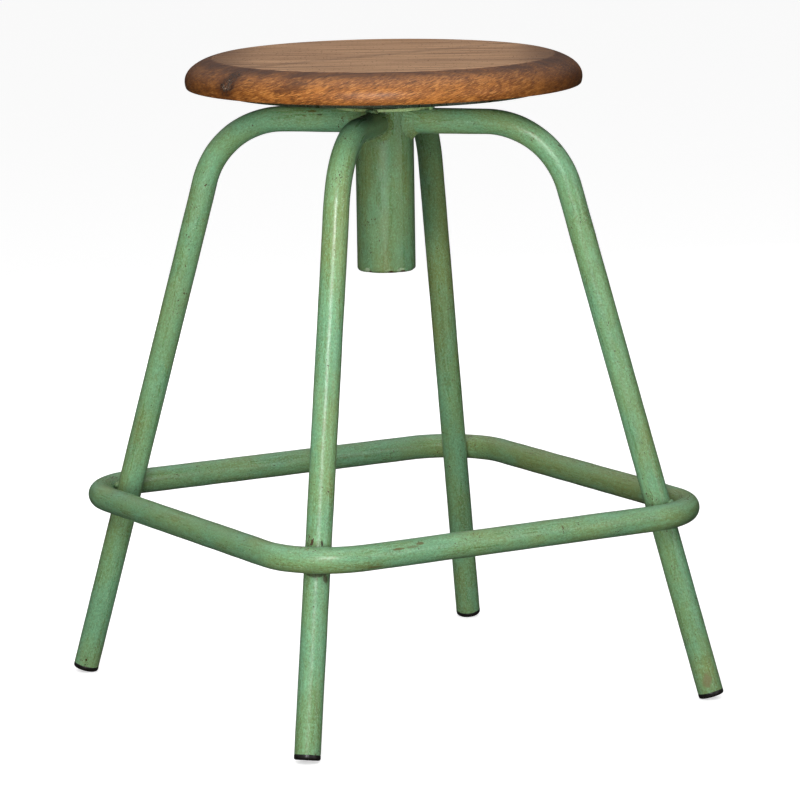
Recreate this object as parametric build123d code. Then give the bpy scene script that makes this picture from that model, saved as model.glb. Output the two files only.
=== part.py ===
"""Bar stool with a round wooden seat on a screw spindle, four bent tube legs and a tubular footrest.

Millimetres. +Z is up, the origin is on the floor under the seat's axis, and the legs stand on the
diagonals, so that the footrest's sides run along X and Y. The seat is at the bottom of its travel.
Each separate piece of the stool is written to its own STEP file.
"""

import os
from math import cos, radians, sin, sqrt, tan

from build123d import *

# Steel tube of the legs and the footrest
TUBE_R = 12.5
TUBE_WALL = 1.6
TUBE_BORE_R = TUBE_R - TUBE_WALL
TOUCH_GAP = 0.1  # between tubes and plates that a weld bead joins

# Hub: the upright tube that the legs meet
HUB_R = 28.5
HUB_WALL = 3.0
HUB_BORE_R = HUB_R - HUB_WALL
HUB_BOTTOM_Z = 416.0
HUB_TOP_Z = 575.0
HUB_EDGE_ROUND = 2.5

# Legs: level at the hub, then a bend, then straight down and outwards to the floor
LEG_ANGLES = {"front": 225, "right": 315, "back": 45, "left": 135}
LEG_TILT = 15.46  # from the vertical, degrees
LEG_FOOT_RADIUS = 321.4  # from the stool's axis to a leg's centre line, on the floor
LEG_BEND_R = 85.0
ARM_Z = HUB_TOP_Z - TOUCH_GAP - TUBE_R

# Footrest: a closed loop of tube that passes outside the four legs
FOOTREST_Z = 186.8
FOOTREST_CORNER_R = 68.0
FOOTREST_VENT_R = 2.5  # half way up the inner side of one bar

# Foot caps: plastic inserts with a domed flange
CAP_FLANGE = 5.0
CAP_ROUND = 2.0
CAP_PLUG_LENGTH = 18.0
CAP_PLUG_WALL = 2.0
CAP_RIB = 0.6
CAP_RIB_THICK = 1.5
CAP_RIB_COUNT = 3

# Disc on top of the hub and the legs
DISC_R = 47.0
DISC_THICK = 3.0
DISC_HOLE_R = 16.0
DISC_CHAMFER = 0.6
DISC_TOP_Z = HUB_TOP_Z + DISC_THICK

# Lift screw: thread 28 mm across, turning in a nut fixed in the top of the hub
SPINDLE_R = 14.0
RUNNING_GAP = 0.05
NUT_LENGTH = 30.0
THREAD_PITCH = 6.0
TRAVEL_TURNS = 16
SEAT_TRAVEL = THREAD_PITCH * TRAVEL_TURNS
STOP_GAP = 2.5  # left between the guide and the nut at the top of the travel
JOURNAL_R = 8.0
JOURNAL_PLAY = 0.2
GUIDE_THICK = 8.0
GUIDE_CHAMFER = 0.8
WASHER_R = 12.0
WASHER_THICK = 2.0
WASHER_PLAY = 0.3
GUIDE_SCREW_R = 4.0
GUIDE_SCREW_LENGTH = 20.0
GUIDE_SCREW_HEAD_R = 7.0
GUIDE_SCREW_HEAD = 4.6
GUIDE_SCREW_HEAD_ROUND = 2.0
SOCKET_R = 2.6
SOCKET_DEPTH = 2.6

# Hub plug: closes the bottom of the hub
PLUG_RECESS = 1.5
PLUG_THICK = 2.5
PLUG_SKIRT = 9.0
PLUG_WALL = 2.0

# Seat plate: a steel disc with its rim turned down, welded to the spindle through a collar
PLATE_R = 156.0
PLATE_THICK = 2.5
PLATE_RIM = 6.6
PLATE_ROUND = 1.5
COLLAR_R = 24.0
COLLAR_CHAMFER = 1.5
COLLAR_REST_GAP = 0.3

# Wooden seat
SEAT_BOTTOM_Z = 597.2
SEAT_TOP_Z = 626.0
SEAT_BOTTOM_R = 190.8  # where the flat underside ends
SEAT_CORNER_R = 192.3  # where the lower corner's small rounding ends
SEAT_CORNER_Z = 598.8
SEAT_R = 193.0
SEAT_WIDEST_Z = 603.4
SEAT_SIDE_R = 185.6  # where the rounded side is already turning in
SEAT_SIDE_Z = 617.2
SEAT_CREASE_R = 165.0  # where the flat top ends
SEAT_CREASE_SLOPE = 12.0  # of the side just outside the flat top, degrees

# Screws that hold the plate to the wood, driven from below
SEAT_SCREW_COUNT = 8
SEAT_SCREW_CIRCLE_R = 128.0
SEAT_SCREW_R = 2.5
SEAT_SCREW_LENGTH = 22.0
SEAT_SCREW_TIP_R = 0.4
SEAT_SCREW_HEAD_R = 5.0
SEAT_SCREW_HEAD = 2.6
SEAT_SCREW_HEAD_ROUND = 1.4
RECESS_LENGTH = 5.0
RECESS_WIDTH = 1.0
RECESS_DEPTH = 1.3
SEAT_SCREW_HOLE_GAP = 0.1

# Weld beads
BEAD_HUB = 6.0  # reach along the hub and along the leg
BEAD_HUB_TOP = 9.0  # the beads at the hub end this far above the middle of the leg
BEAD_FOOTREST_R = 4.5
BEAD_FOOTREST_LENGTH = 10.0
BEAD_FOOTREST_OFFSET = 5.5  # along the leg, either side of where it touches the footrest
BEAD_DISC_R = 3.2
BEAD_DISC_LENGTH = 13.0

# Heights that follow from the sizes above
NUT_BOTTOM_Z = HUB_TOP_Z - NUT_LENGTH
GUIDE_TOP_Z = NUT_BOTTOM_Z - STOP_GAP - SEAT_TRAVEL
GUIDE_BOTTOM_Z = GUIDE_TOP_Z - GUIDE_THICK
SPINDLE_SHOULDER_Z = GUIDE_TOP_Z + JOURNAL_PLAY / 2
SPINDLE_BOTTOM_Z = GUIDE_BOTTOM_Z - JOURNAL_PLAY / 2
PLATE_UNDERSIDE_Z = SEAT_BOTTOM_Z - PLATE_THICK


def radius_of_leg_at(z):
    """Distance from the stool's axis to a straight leg's centre line at height z."""
    return LEG_FOOT_RADIUS - z * tan(radians(LEG_TILT))


def turned(angle, shape):
    """A shape made in the XZ plane, along +X, turned about the stool's axis."""
    return Rot(0, 0, angle) * shape


def upright(radius, low, high):
    """A cylinder on the stool's axis between two heights."""
    return Pos(0, 0, low) * Cylinder(radius, high - low, align=(Align.CENTER, Align.CENTER, Align.MIN))


def leg_end_frame():
    """The plane across a leg at the foot end of its tube: its Z axis points up along the leg."""
    tilt = radians(LEG_TILT)
    round_centre_drop = CAP_ROUND * (1 - cos(tilt)) + (TUBE_R - CAP_ROUND) * sin(tilt)
    cap_face = Vector(radius_of_leg_at(round_centre_drop), 0, round_centre_drop)
    up_leg = Vector(-sin(tilt), 0, cos(tilt))
    return Plane(origin=cap_face + up_leg * CAP_FLANGE, x_dir=(cos(tilt), 0, sin(tilt)), z_dir=up_leg)


def leg_path():
    """Centre line of a leg in the XZ plane, from inside the hub to the end of the tube."""
    corner = Vector(radius_of_leg_at(ARM_Z), 0, ARM_Z)
    tangent = LEG_BEND_R * tan(radians(90 - LEG_TILT) / 2)
    tilt = radians(LEG_TILT)
    down_leg = Vector(sin(tilt), 0, -cos(tilt))
    arm_end = corner - Vector(tangent, 0, 0)
    bend_end = corner + down_leg * tangent
    arm = Line(Vector(0, 0, ARM_Z), arm_end)
    bend = TangentArc(arm_end, bend_end, tangent=(1, 0, 0))
    shank = Line(bend_end, leg_end_frame().origin)
    return Wire([arm, bend, shank])


def swept_tube(path, start, across, radius):
    """A round bar of the given radius along a path."""
    return sweep(Plane(origin=start, z_dir=across) * Circle(radius), path=path)


def make_leg():
    """One bent leg along +X, its upper end cut to fit round the hub."""
    path = leg_path()
    start = Vector(0, 0, ARM_Z)
    outer = swept_tube(path, start, (1, 0, 0), TUBE_R)
    bore = swept_tube(path, start, (1, 0, 0), TUBE_BORE_R)
    cope = upright(HUB_R + TOUCH_GAP, ARM_Z - 2 * TUBE_R, ARM_Z + 2 * TUBE_R)
    return outer - bore - cope


def make_foot_cap():
    """Ribbed plug and flange that close a leg along +X."""
    end = leg_end_frame()
    flange = Cylinder(TUBE_R, CAP_FLANGE, align=(Align.CENTER, Align.CENTER, Align.MAX))
    flange = fillet(flange.edges().filter_by(GeomType.CIRCLE).sort_by(Axis.Z)[0], CAP_ROUND)
    plug_r = TUBE_BORE_R - CAP_RIB - TOUCH_GAP
    plug = Cylinder(plug_r, CAP_PLUG_LENGTH, align=(Align.CENTER, Align.CENTER, Align.MIN))
    ribs = [
        Pos(0, 0, CAP_PLUG_LENGTH * (i + 1) / (CAP_RIB_COUNT + 1))
        * Cylinder(TUBE_BORE_R - TOUCH_GAP, CAP_RIB_THICK)
        for i in range(CAP_RIB_COUNT)
    ]
    hollow_r = plug_r - CAP_PLUG_WALL
    hollow = Cylinder(hollow_r, CAP_PLUG_LENGTH, align=(Align.CENTER, Align.CENTER, Align.MIN))
    return end * (flange + plug + ribs - hollow)


def footrest_half_side():
    """From the stool's axis to the centre line of a footrest side, so that the corners touch the legs."""
    corner_reach = radius_of_leg_at(FOOTREST_Z) + (2 * TUBE_R + TOUCH_GAP) / cos(radians(LEG_TILT))
    return (corner_reach - FOOTREST_CORNER_R) / sqrt(2) + FOOTREST_CORNER_R


def make_footrest():
    """The closed footrest loop, with a vent hole half way up the inner side of one bar."""
    half = footrest_half_side()
    centre_line = Pos(0, 0, FOOTREST_Z) * RectangleRounded(2 * half, 2 * half, FOOTREST_CORNER_R)
    path = centre_line.wire()
    loop = swept_tube(path, path @ 0, path % 0, TUBE_R)
    bore = swept_tube(path, path @ 0, path % 0, TUBE_BORE_R)
    vent = Pos(-half + TUBE_R, 0, FOOTREST_Z) * Rot(0, 90, 0) * Cylinder(FOOTREST_VENT_R, 3 * TUBE_WALL)
    return loop - bore - vent


def make_hub_tube():
    """The hub, with its lower edge eased."""
    hub = upright(HUB_R, HUB_BOTTOM_Z, HUB_TOP_Z)
    hub = fillet(hub.edges().filter_by(GeomType.CIRCLE).sort_by(Axis.Z)[0], HUB_EDGE_ROUND)
    return hub - upright(HUB_BORE_R, HUB_BOTTOM_Z, HUB_TOP_Z)


def make_hub_plug():
    """Plastic plug pressed into the bottom of the hub."""
    low = HUB_BOTTOM_Z + PLUG_RECESS
    radius = HUB_BORE_R - TOUCH_GAP
    cup = upright(radius, low, low + PLUG_THICK + PLUG_SKIRT)
    return cup - upright(radius - PLUG_WALL, low + PLUG_THICK, low + PLUG_THICK + PLUG_SKIRT)


def make_lift_nut():
    """The long nut pressed and pinned in the top of the hub."""
    nut = upright(HUB_BORE_R - TOUCH_GAP, NUT_BOTTOM_Z, HUB_TOP_Z)
    return nut - upright(SPINDLE_R + RUNNING_GAP, NUT_BOTTOM_Z, HUB_TOP_Z)


def make_hub_disc():
    """The disc on top of the hub and the legs."""
    disc = upright(DISC_R, HUB_TOP_Z, DISC_TOP_Z)
    disc = chamfer(disc.edges().filter_by(GeomType.CIRCLE).sort_by(Axis.Z)[-1], DISC_CHAMFER)
    return disc - upright(DISC_HOLE_R, HUB_TOP_Z, DISC_TOP_Z)


def make_spindle():
    """The lift screw at its thread's full width, with a plain journal at its lower end."""
    screw = upright(SPINDLE_R, SPINDLE_SHOULDER_Z, PLATE_UNDERSIDE_Z)
    journal = upright(JOURNAL_R, SPINDLE_BOTTOM_Z, SPINDLE_SHOULDER_Z)
    tapped = upright(GUIDE_SCREW_R, SPINDLE_BOTTOM_Z, SPINDLE_BOTTOM_Z + GUIDE_SCREW_LENGTH)
    return screw + journal - tapped


def make_guide_bush():
    """The plastic bush that keeps the lower end of the spindle in the middle of the hub."""
    bush = upright(HUB_BORE_R - RUNNING_GAP, GUIDE_BOTTOM_Z, GUIDE_TOP_Z)
    bush = chamfer(bush.edges().filter_by(GeomType.CIRCLE), GUIDE_CHAMFER)
    return bush - upright(JOURNAL_R + RUNNING_GAP, GUIDE_BOTTOM_Z, GUIDE_TOP_Z)


def make_guide_washer():
    """Washer that keeps the bush on the spindle."""
    washer = upright(WASHER_R, SPINDLE_BOTTOM_Z - WASHER_THICK, SPINDLE_BOTTOM_Z)
    return washer - upright(GUIDE_SCREW_R + WASHER_PLAY, SPINDLE_BOTTOM_Z - WASHER_THICK, SPINDLE_BOTTOM_Z)


def make_guide_screw():
    """Button-head screw up into the end of the spindle."""
    seat_z = SPINDLE_BOTTOM_Z - WASHER_THICK
    shank = upright(GUIDE_SCREW_R - TOUCH_GAP, seat_z, seat_z + GUIDE_SCREW_LENGTH)
    head = upright(GUIDE_SCREW_HEAD_R, seat_z - GUIDE_SCREW_HEAD, seat_z)
    head = fillet(head.edges().filter_by(GeomType.CIRCLE).sort_by(Axis.Z)[0], GUIDE_SCREW_HEAD_ROUND)
    socket = Pos(0, 0, seat_z - GUIDE_SCREW_HEAD) * extrude(RegularPolygon(SOCKET_R, 6), SOCKET_DEPTH)
    return shank + head - socket


def make_spindle_collar():
    """Steel collar that joins the spindle to the seat plate and rests on the hub's disc."""
    low = DISC_TOP_Z + COLLAR_REST_GAP
    collar = upright(COLLAR_R, low, PLATE_UNDERSIDE_Z)
    collar = chamfer(collar.edges().filter_by(GeomType.CIRCLE).sort_by(Axis.Z)[0], COLLAR_CHAMFER)
    return collar - upright(SPINDLE_R + TOUCH_GAP, low, PLATE_UNDERSIDE_Z)


def seat_screw_places():
    """The places of the seat screws, on a circle."""
    half_step = 360 / SEAT_SCREW_COUNT / 2
    return PolarLocations(SEAT_SCREW_CIRCLE_R, SEAT_SCREW_COUNT, start_angle=half_step)


def make_seat_screws():
    """The pan-head screws, as separate solids."""
    shank_r = SEAT_SCREW_R
    head_low = PLATE_UNDERSIDE_Z - SEAT_SCREW_HEAD
    shank = upright(shank_r, PLATE_UNDERSIDE_Z, PLATE_UNDERSIDE_Z + SEAT_SCREW_LENGTH - shank_r)
    tip = Pos(0, 0, PLATE_UNDERSIDE_Z + SEAT_SCREW_LENGTH - shank_r) * Cone(
        shank_r, SEAT_SCREW_TIP_R, shank_r, align=(Align.CENTER, Align.CENTER, Align.MIN)
    )
    head = upright(SEAT_SCREW_HEAD_R, head_low, PLATE_UNDERSIDE_Z)
    head = fillet(head.edges().filter_by(GeomType.CIRCLE).sort_by(Axis.Z)[0], SEAT_SCREW_HEAD_ROUND)
    slot = Box(RECESS_LENGTH, RECESS_WIDTH, 2 * RECESS_DEPTH)
    cross = Pos(0, 0, head_low) * (slot + Rot(0, 0, 90) * slot)
    screw = shank + tip + head - cross
    return Compound(children=[place * screw for place in seat_screw_places()])


def seat_screw_holes():
    """Clearance for the screws in the plate and the wood."""
    hole = upright(
        SEAT_SCREW_R + SEAT_SCREW_HOLE_GAP,
        PLATE_UNDERSIDE_Z,
        PLATE_UNDERSIDE_Z + SEAT_SCREW_LENGTH + SEAT_SCREW_HOLE_GAP,
    )
    return [place * hole for place in seat_screw_places()]


def make_seat_plate():
    """The steel disc under the wood, its rim turned down."""
    low = SEAT_BOTTOM_Z - PLATE_RIM
    plate = upright(PLATE_R, low, SEAT_BOTTOM_Z)
    plate = fillet(plate.edges().filter_by(GeomType.CIRCLE).sort_by(Axis.Z)[-1], PLATE_ROUND)
    dish = upright(PLATE_R - PLATE_THICK, low, PLATE_UNDERSIDE_Z)
    return plate - dish - seat_screw_holes()


def make_seat_top():
    """The wooden seat: a flat top, a crease, and a rounded side that is widest near the bottom."""
    bottom = Line((0, SEAT_BOTTOM_Z), (SEAT_BOTTOM_R, SEAT_BOTTOM_Z))
    corner = Spline(
        (SEAT_BOTTOM_R, SEAT_BOTTOM_Z),
        (SEAT_CORNER_R, SEAT_CORNER_Z),
        (SEAT_R, SEAT_WIDEST_Z),
        tangents=((1, 0), (0, 1)),
    )
    side = Spline(
        (SEAT_R, SEAT_WIDEST_Z),
        (SEAT_SIDE_R, SEAT_SIDE_Z),
        (SEAT_CREASE_R, SEAT_TOP_Z),
        tangents=((0, 1), (-1, tan(radians(SEAT_CREASE_SLOPE)))),
    )
    top = Line((SEAT_CREASE_R, SEAT_TOP_Z), (0, SEAT_TOP_Z))
    axis = Line((0, SEAT_TOP_Z), (0, SEAT_BOTTOM_Z))
    outline = make_face([bottom, corner, side, top, axis])
    seat = revolve(Plane.XZ * outline, Axis.Z, 360)
    return seat - seat_screw_holes()


def make_hub_weld():
    """A fillet bead round the sides and the underside of a leg, where it meets the hub."""
    tall_hub = upright(HUB_R, HUB_BOTTOM_Z, SEAT_TOP_Z)
    arm_length = HUB_R + 3 * BEAD_HUB
    arm = Pos(0, 0, ARM_Z) * Rot(0, 90, 0) * Cylinder(
        TUBE_R, arm_length, align=(Align.CENTER, Align.CENTER, Align.MIN)
    )
    joined = tall_hub + arm
    seam = [edge for edge in joined.edges() if is_hub_seam(edge)]
    clear_top = upright(2 * DISC_R, ARM_Z + BEAD_HUB_TOP, SEAT_TOP_Z)
    return chamfer(seam, BEAD_HUB) - tall_hub - arm - clear_top


def is_hub_seam(edge):
    """Whether an edge lies where a leg along +X enters the hub."""
    middle = edge.center()
    return 0 < middle.X < HUB_R and abs(middle.Z - ARM_Z) < TUBE_R


def make_disc_weld(leg_bar):
    """A short bead at the disc's rim, across the top of a leg."""
    rim_bar = Pos(DISC_R, 0, HUB_TOP_Z) * Rot(90, 0, 0) * Cylinder(BEAD_DISC_R, BEAD_DISC_LENGTH)
    return rim_bar - upright(DISC_R, HUB_TOP_Z, DISC_TOP_Z) - leg_bar


def make_footrest_welds(leg_bar, footrest_bars):
    """Two beads, above and below, where a leg touches the inside of a footrest corner."""
    tilt = radians(LEG_TILT)
    contact = Vector(radius_of_leg_at(FOOTREST_Z) + TUBE_R / cos(tilt), 0, FOOTREST_Z)
    beads = []
    for side in (-1, 1):
        centre = contact + Vector(-sin(tilt), 0, cos(tilt)) * (side * BEAD_FOOTREST_OFFSET)
        bar = Pos(*centre) * Rot(90, 0, 0) * Cylinder(BEAD_FOOTREST_R, BEAD_FOOTREST_LENGTH)
        beads.append(bar - leg_bar - footrest_bars)
    return beads


def biggest_solid(shape):
    """The largest solid of a shape, without the crumbs that a cut may leave."""
    return max(shape.solids(), key=lambda solid: solid.volume)


def on_every_leg(solids):
    """A group with one copy of each solid at each leg."""
    return Compound(
        children=[turned(angle, solid) for angle in LEG_ANGLES.values() for solid in solids]
    )


def make_parts():
    """Every node's name and shape."""
    leg = make_leg()
    cap = make_foot_cap()
    leg_bar = swept_tube(leg_path(), Vector(0, 0, ARM_Z), (1, 0, 0), TUBE_R)
    half = footrest_half_side()
    corner_reach = (half - FOOTREST_CORNER_R) * sqrt(2)
    corner_bar = Pos(corner_reach, 0, FOOTREST_Z) * Torus(FOOTREST_CORNER_R, TUBE_R)

    parts = {
        "seat_top": make_seat_top(),
        "seat_plate": make_seat_plate(),
        "seat_screws": make_seat_screws(),
        "spindle": make_spindle(),
        "spindle_collar": make_spindle_collar(),
        "guide_bush": make_guide_bush(),
        "guide_washer": make_guide_washer(),
        "guide_screw": make_guide_screw(),
        "lift_nut": make_lift_nut(),
        "hub_disc": make_hub_disc(),
        "hub_tube": make_hub_tube(),
        "hub_plug": make_hub_plug(),
        "footrest": make_footrest(),
        "hub_welds": on_every_leg([biggest_solid(make_hub_weld())]),
        "disc_welds": on_every_leg([biggest_solid(make_disc_weld(leg_bar))]),
        "footrest_welds": on_every_leg(
            [biggest_solid(bead) for bead in make_footrest_welds(leg_bar, corner_bar)]
        ),
    }
    for name, angle in LEG_ANGLES.items():
        parts[f"leg_{name}"] = turned(angle, leg)
        parts[f"foot_cap_{name}"] = turned(angle, cap)
    return parts


def main():
    os.makedirs("parts", exist_ok=True)
    for name, shape in make_parts().items():
        export_step(shape, f"parts/{name}.step")


main()
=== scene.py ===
"""Looks of the bar stool: worn paint, oiled wood, rippled welds, black caps and the lift screw's thread.

Metres, in the CAD frame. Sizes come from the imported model's boxes; the rest are named below.
"""

import math

import bpy
from mathutils import Matrix, Vector, noise
from mathutils.kdtree import KDTree


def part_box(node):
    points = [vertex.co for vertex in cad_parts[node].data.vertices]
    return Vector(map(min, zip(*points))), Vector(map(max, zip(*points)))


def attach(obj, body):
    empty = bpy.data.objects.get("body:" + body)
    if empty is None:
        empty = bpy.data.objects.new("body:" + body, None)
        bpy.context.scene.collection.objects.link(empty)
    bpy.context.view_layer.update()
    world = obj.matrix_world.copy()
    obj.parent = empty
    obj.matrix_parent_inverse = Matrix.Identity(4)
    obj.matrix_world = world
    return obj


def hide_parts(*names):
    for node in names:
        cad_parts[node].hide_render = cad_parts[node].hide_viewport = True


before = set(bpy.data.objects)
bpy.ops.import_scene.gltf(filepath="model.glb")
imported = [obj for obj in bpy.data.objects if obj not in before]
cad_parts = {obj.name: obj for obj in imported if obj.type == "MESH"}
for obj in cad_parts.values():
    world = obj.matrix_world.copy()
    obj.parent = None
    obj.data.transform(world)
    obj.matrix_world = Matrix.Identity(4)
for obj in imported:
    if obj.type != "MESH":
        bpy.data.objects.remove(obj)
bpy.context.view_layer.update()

TAU = 2 * math.pi
MM = 0.001

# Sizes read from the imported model
SEAT_LOW, SEAT_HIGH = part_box("seat_top")
PLATE_LOW, PLATE_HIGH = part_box("seat_plate")
DISC_LOW, DISC_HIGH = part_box("hub_disc")
HUB_LOW, HUB_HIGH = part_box("hub_tube")
LOOP_LOW, LOOP_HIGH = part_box("footrest")
SPINDLE_LOW, SPINDLE_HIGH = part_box("spindle")
COLLAR_LOW, COLLAR_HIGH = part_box("spindle_collar")

TUBE_R = (LOOP_HIGH.z - LOOP_LOW.z) / 2
TUBE_WALL = 1.6 * MM
SEAT_R = SEAT_HIGH.x
PLATE_R = PLATE_HIGH.x
PLATE_THICK = 2.5 * MM
COLLAR_BORE_R = 14.2 * MM
DISC_R = DISC_HIGH.x
CREASE_R = 0.165
HUB_R = HUB_HIGH.x
HUB_WALL = 3.0 * MM
SPINDLE_R = SPINDLE_HIGH.x

# Legs
LEG_ANGLES = {"front": 225, "right": 315, "back": 45, "left": 135}
LEG_TILT = math.radians(15.46)
UP_LEG = Vector((-math.sin(LEG_TILT), 0, math.cos(LEG_TILT)))
LEG_FOOT_RADIUS = 0.3214
LEG_BEND_R = 0.085
IN_HUB = 4 * MM
ARM_Z = DISC_LOW.z - 0.1 * MM - TUBE_R

# Footrest
LOOP_Z = (LOOP_LOW.z + LOOP_HIGH.z) / 2
LOOP_HALF = LOOP_HIGH.x - TUBE_R
LOOP_CORNER_R = 0.068
VENT_R = 2.5 * MM

# Meshes of the tubes, their unevenness, and how far apart their paint patterns are taken
TUBE_SIDES = 64
RUN_STEP = 4 * MM
BEND_STEP = 3 * MM
TUBE_DENT = 0.35 * MM
SEED_STEP = 0.37

# Welds: points round a bead and along it, and the length of one ripple
BEAD_SIDES = 18
BEAD_STEPS = 40
BEAD_RIPPLE = 1.9 * MM

# How far dirt reaches up from the floor, and how far dirt and painted shade reach round a weld
FLOOR_DIRT = 35 * MM
WELD_DIRT_AND_SHADE = 30 * MM

# Foot caps
CAP_FLANGE = 5.0 * MM
CAP_ROUND = 2.0 * MM

# Chips in the hub's lower edge: their turn from the front, degrees, and their depth
HUB_CHIPS = [
    (-41, 1.3 * MM), (30, 1.1 * MM), (4, 0.4 * MM), (78, 0.9 * MM), (142, 1.2 * MM), (-118, 1.0 * MM),
]

# The seat's knot, as seen from the front: to the right, away and up. The middle of a dark figure, in the
# same axes turned with the grain's slope. Then the turn that faces the knot, and how far the tree's pith
# lies under the seat's top.
KNOT = (-0.1475, -0.1213, 0.611)
FIGURE = (0.100, -0.165, 0.611)
KNOT_TURN = 0.88
PITH_DEPTH = 0.11

# The grain's slope on the seat's side, and the spacing of the growth rings
GRAIN_SLOPE = 0.30
RING_GAP = 12.5 * MM

# The camera, with one leg nearly towards it
CAMERA_AZIMUTH = math.radians(-30.55)
CAMERA_ELEVATION = math.radians(9.83)
CAMERA_ROLL = math.radians(-0.89)
CAMERA_DISTANCE = 4.482
CAMERA_LENS = 205.4
AIM_HEIGHT = 0.2861
AIM_RIGHT = 0.0111

# Strength of the surroundings at eye level and overhead, and the heights between which it grows,
# where 0 is level and 1 is straight up
WORLD_LOW = 0.03
WORLD_HIGH = 0.70
RISE_LOW = 0.12
RISE_HIGH = 0.9

# Half the floor's width, and how much light it gives off
FLOOR_HALF = 60.0
FLOOR_GLOW = 0.55

# Lights: place as seen from the camera (right, towards it, up), height aimed at, size, watts, spread in
# degrees, and whether reflections show it
LIGHTS = {
    "key": ((-0.15, 2.4, 1.50), 0.35, (0.55, 0.85), 36, 180, True),
    "low": ((-0.35, 2.3, 0.30), 0.50, (1.3, 0.6), 36, 180, False),
    "under_seat": ((-0.3, 1.6, 0.42), 0.57, (0.9, 0.15), 1, 50, False),
    "fill": ((1.9, 1.3, 0.9), 0.35, (0.9, 1.3), 6, 180, True),
    "overhead": ((0.0, 0.0, 2.6), 0.35, (1.8, 1.8), 10, 180, True),
    "back": ((-0.6, -2.4, 1.2), 0.35, (1.8, 1.2), 16, 180, False),
}

# Colours under and on the paint; the dark stain colour also paints a shadow
UNDERCOAT = (0.105, 0.085, 0.035, 1)
SCUFF = (0.46, 0.55, 0.40, 1)
RUST_DEEP = (0.052, 0.022, 0.009, 1)
RUST = (0.040, 0.017, 0.005, 1)
OCHRE = (0.085, 0.060, 0.012, 1)
DARK_STAIN_AND_SHADE = (0.030, 0.024, 0.010, 1)
PALE_CHIP = (0.330, 0.430, 0.270, 1)
THIN_PATCH = (0.165, 0.130, 0.065, 1)

# Sockets of the Mix node when it mixes colours
COLOR_A, COLOR_B, COLOR_OUT = 6, 7, 2

VIEW_RIGHT = Vector((math.cos(CAMERA_AZIMUTH), math.sin(CAMERA_AZIMUTH), 0))
VIEW_FRONT = Vector((math.sin(CAMERA_AZIMUTH), -math.cos(CAMERA_AZIMUTH), 0))


# ---- meshes

def add_object(name, data):
    """An object in the scene."""
    obj = bpy.data.objects.new(name, data)
    bpy.context.scene.collection.objects.link(obj)
    return obj


def new_object(name, vertices, faces, smooth=True, sharp_angle=35):
    """A mesh object from vertices and faces, smooth except at sharp edges."""
    mesh = bpy.data.meshes.new(name)
    mesh.from_pydata([tuple(v) for v in vertices], [], faces)
    mesh.validate()
    obj = add_object(name, mesh)
    if smooth:
        mesh.shade_smooth()
        mesh.set_sharp_from_angle(angle=math.radians(sharp_angle))
    return obj


def store(obj, name, values):
    """A number or a vector for each vertex, which the materials read by name."""
    if name in obj.data.attributes:
        obj.data.attributes.remove(obj.data.attributes[name])
    vectors = isinstance(values[0], tuple)
    kind = "FLOAT_VECTOR" if vectors else "FLOAT"
    flat = [c for v in values for c in v] if vectors else values
    attribute = obj.data.attributes.new(name, kind, "POINT")
    attribute.data.foreach_set("vector" if vectors else "value", flat)


def grid_faces(rows, columns, close_rows=False, capped=False):
    """Quads between rows of vertices, each row a ring of columns. Caps close the first and last ring."""
    faces = []
    for i in range(rows if close_rows else rows - 1):
        low = i * columns
        high = ((i + 1) % rows) * columns
        for j in range(columns):
            k = (j + 1) % columns
            faces.append((low + j, low + k, high + k, high + j))
    if capped:
        faces.append(tuple(range(columns))[::-1])
        faces.append(tuple((rows - 1) * columns + j for j in range(columns)))
    return faces


def circle(radius, height, around):
    """Points round the Z axis."""
    angles = [TAU * j / around for j in range(around)]
    return [Vector((radius * math.cos(a), radius * math.sin(a), height)) for a in angles]


def profile_from(radius, height, points):
    """A (radius, height) profile from points given in millimetres from a radius and a height."""
    return [(radius + r * MM, height + z * MM) for r, z in points]


def axes_matrix(x, y, z, origin):
    """What carries the axes onto x, y and z, and the origin to its place."""
    return Matrix.Translation(origin) @ Matrix((x, y, z)).transposed().to_4x4()


def line_points(start, end, step):
    """Points from start up to, but not including, end."""
    count = max(1, round((end - start).length / step))
    return [start.lerp(end, i / count) for i in range(count)]


def arc_points(centre, arm, normal, angle, step):
    """Points round an arc, from centre + arm, up to but not including its end."""
    count = max(2, round(abs(angle) * arm.length / step))
    return [centre + Matrix.Rotation(angle * i / count, 3, normal) @ arm for i in range(count)]


def tube(name, points, radius, normal, bore=None, seed=0):
    """A hand-finished tube along a flat curve, with normal at right angles to the curve's plane.

    With a bore it is open, and its wall shows at both ends. Without one it is a closed loop.
    """
    dents_per_metre = 22
    around = TUBE_SIDES
    closed = bore is None
    count = len(points)
    vertices = []
    for i, point in enumerate(points):
        before = points[i - 1] if (i or closed) else point
        after = points[(i + 1) % count] if (i < count - 1 or closed) else point
        side = normal.cross((after - before).normalized())
        for j in range(around):
            angle = TAU * j / around
            out = side * math.cos(angle) + normal * math.sin(angle)
            at = (point + out * radius) * dents_per_metre + Vector((seed, 0, 0))
            dent = TUBE_DENT * abs(noise.noise(at))
            vertices.append(point + out * (radius - dent))
    if bore:
        for i in reversed(range(count)):
            for j in range(around):
                outer = vertices[i * around + j] - points[i]
                vertices.append(points[i] + outer.normalized() * bore)
    faces = grid_faces(len(vertices) // around, around, close_rows=True)
    return new_object(name, vertices, faces)


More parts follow.
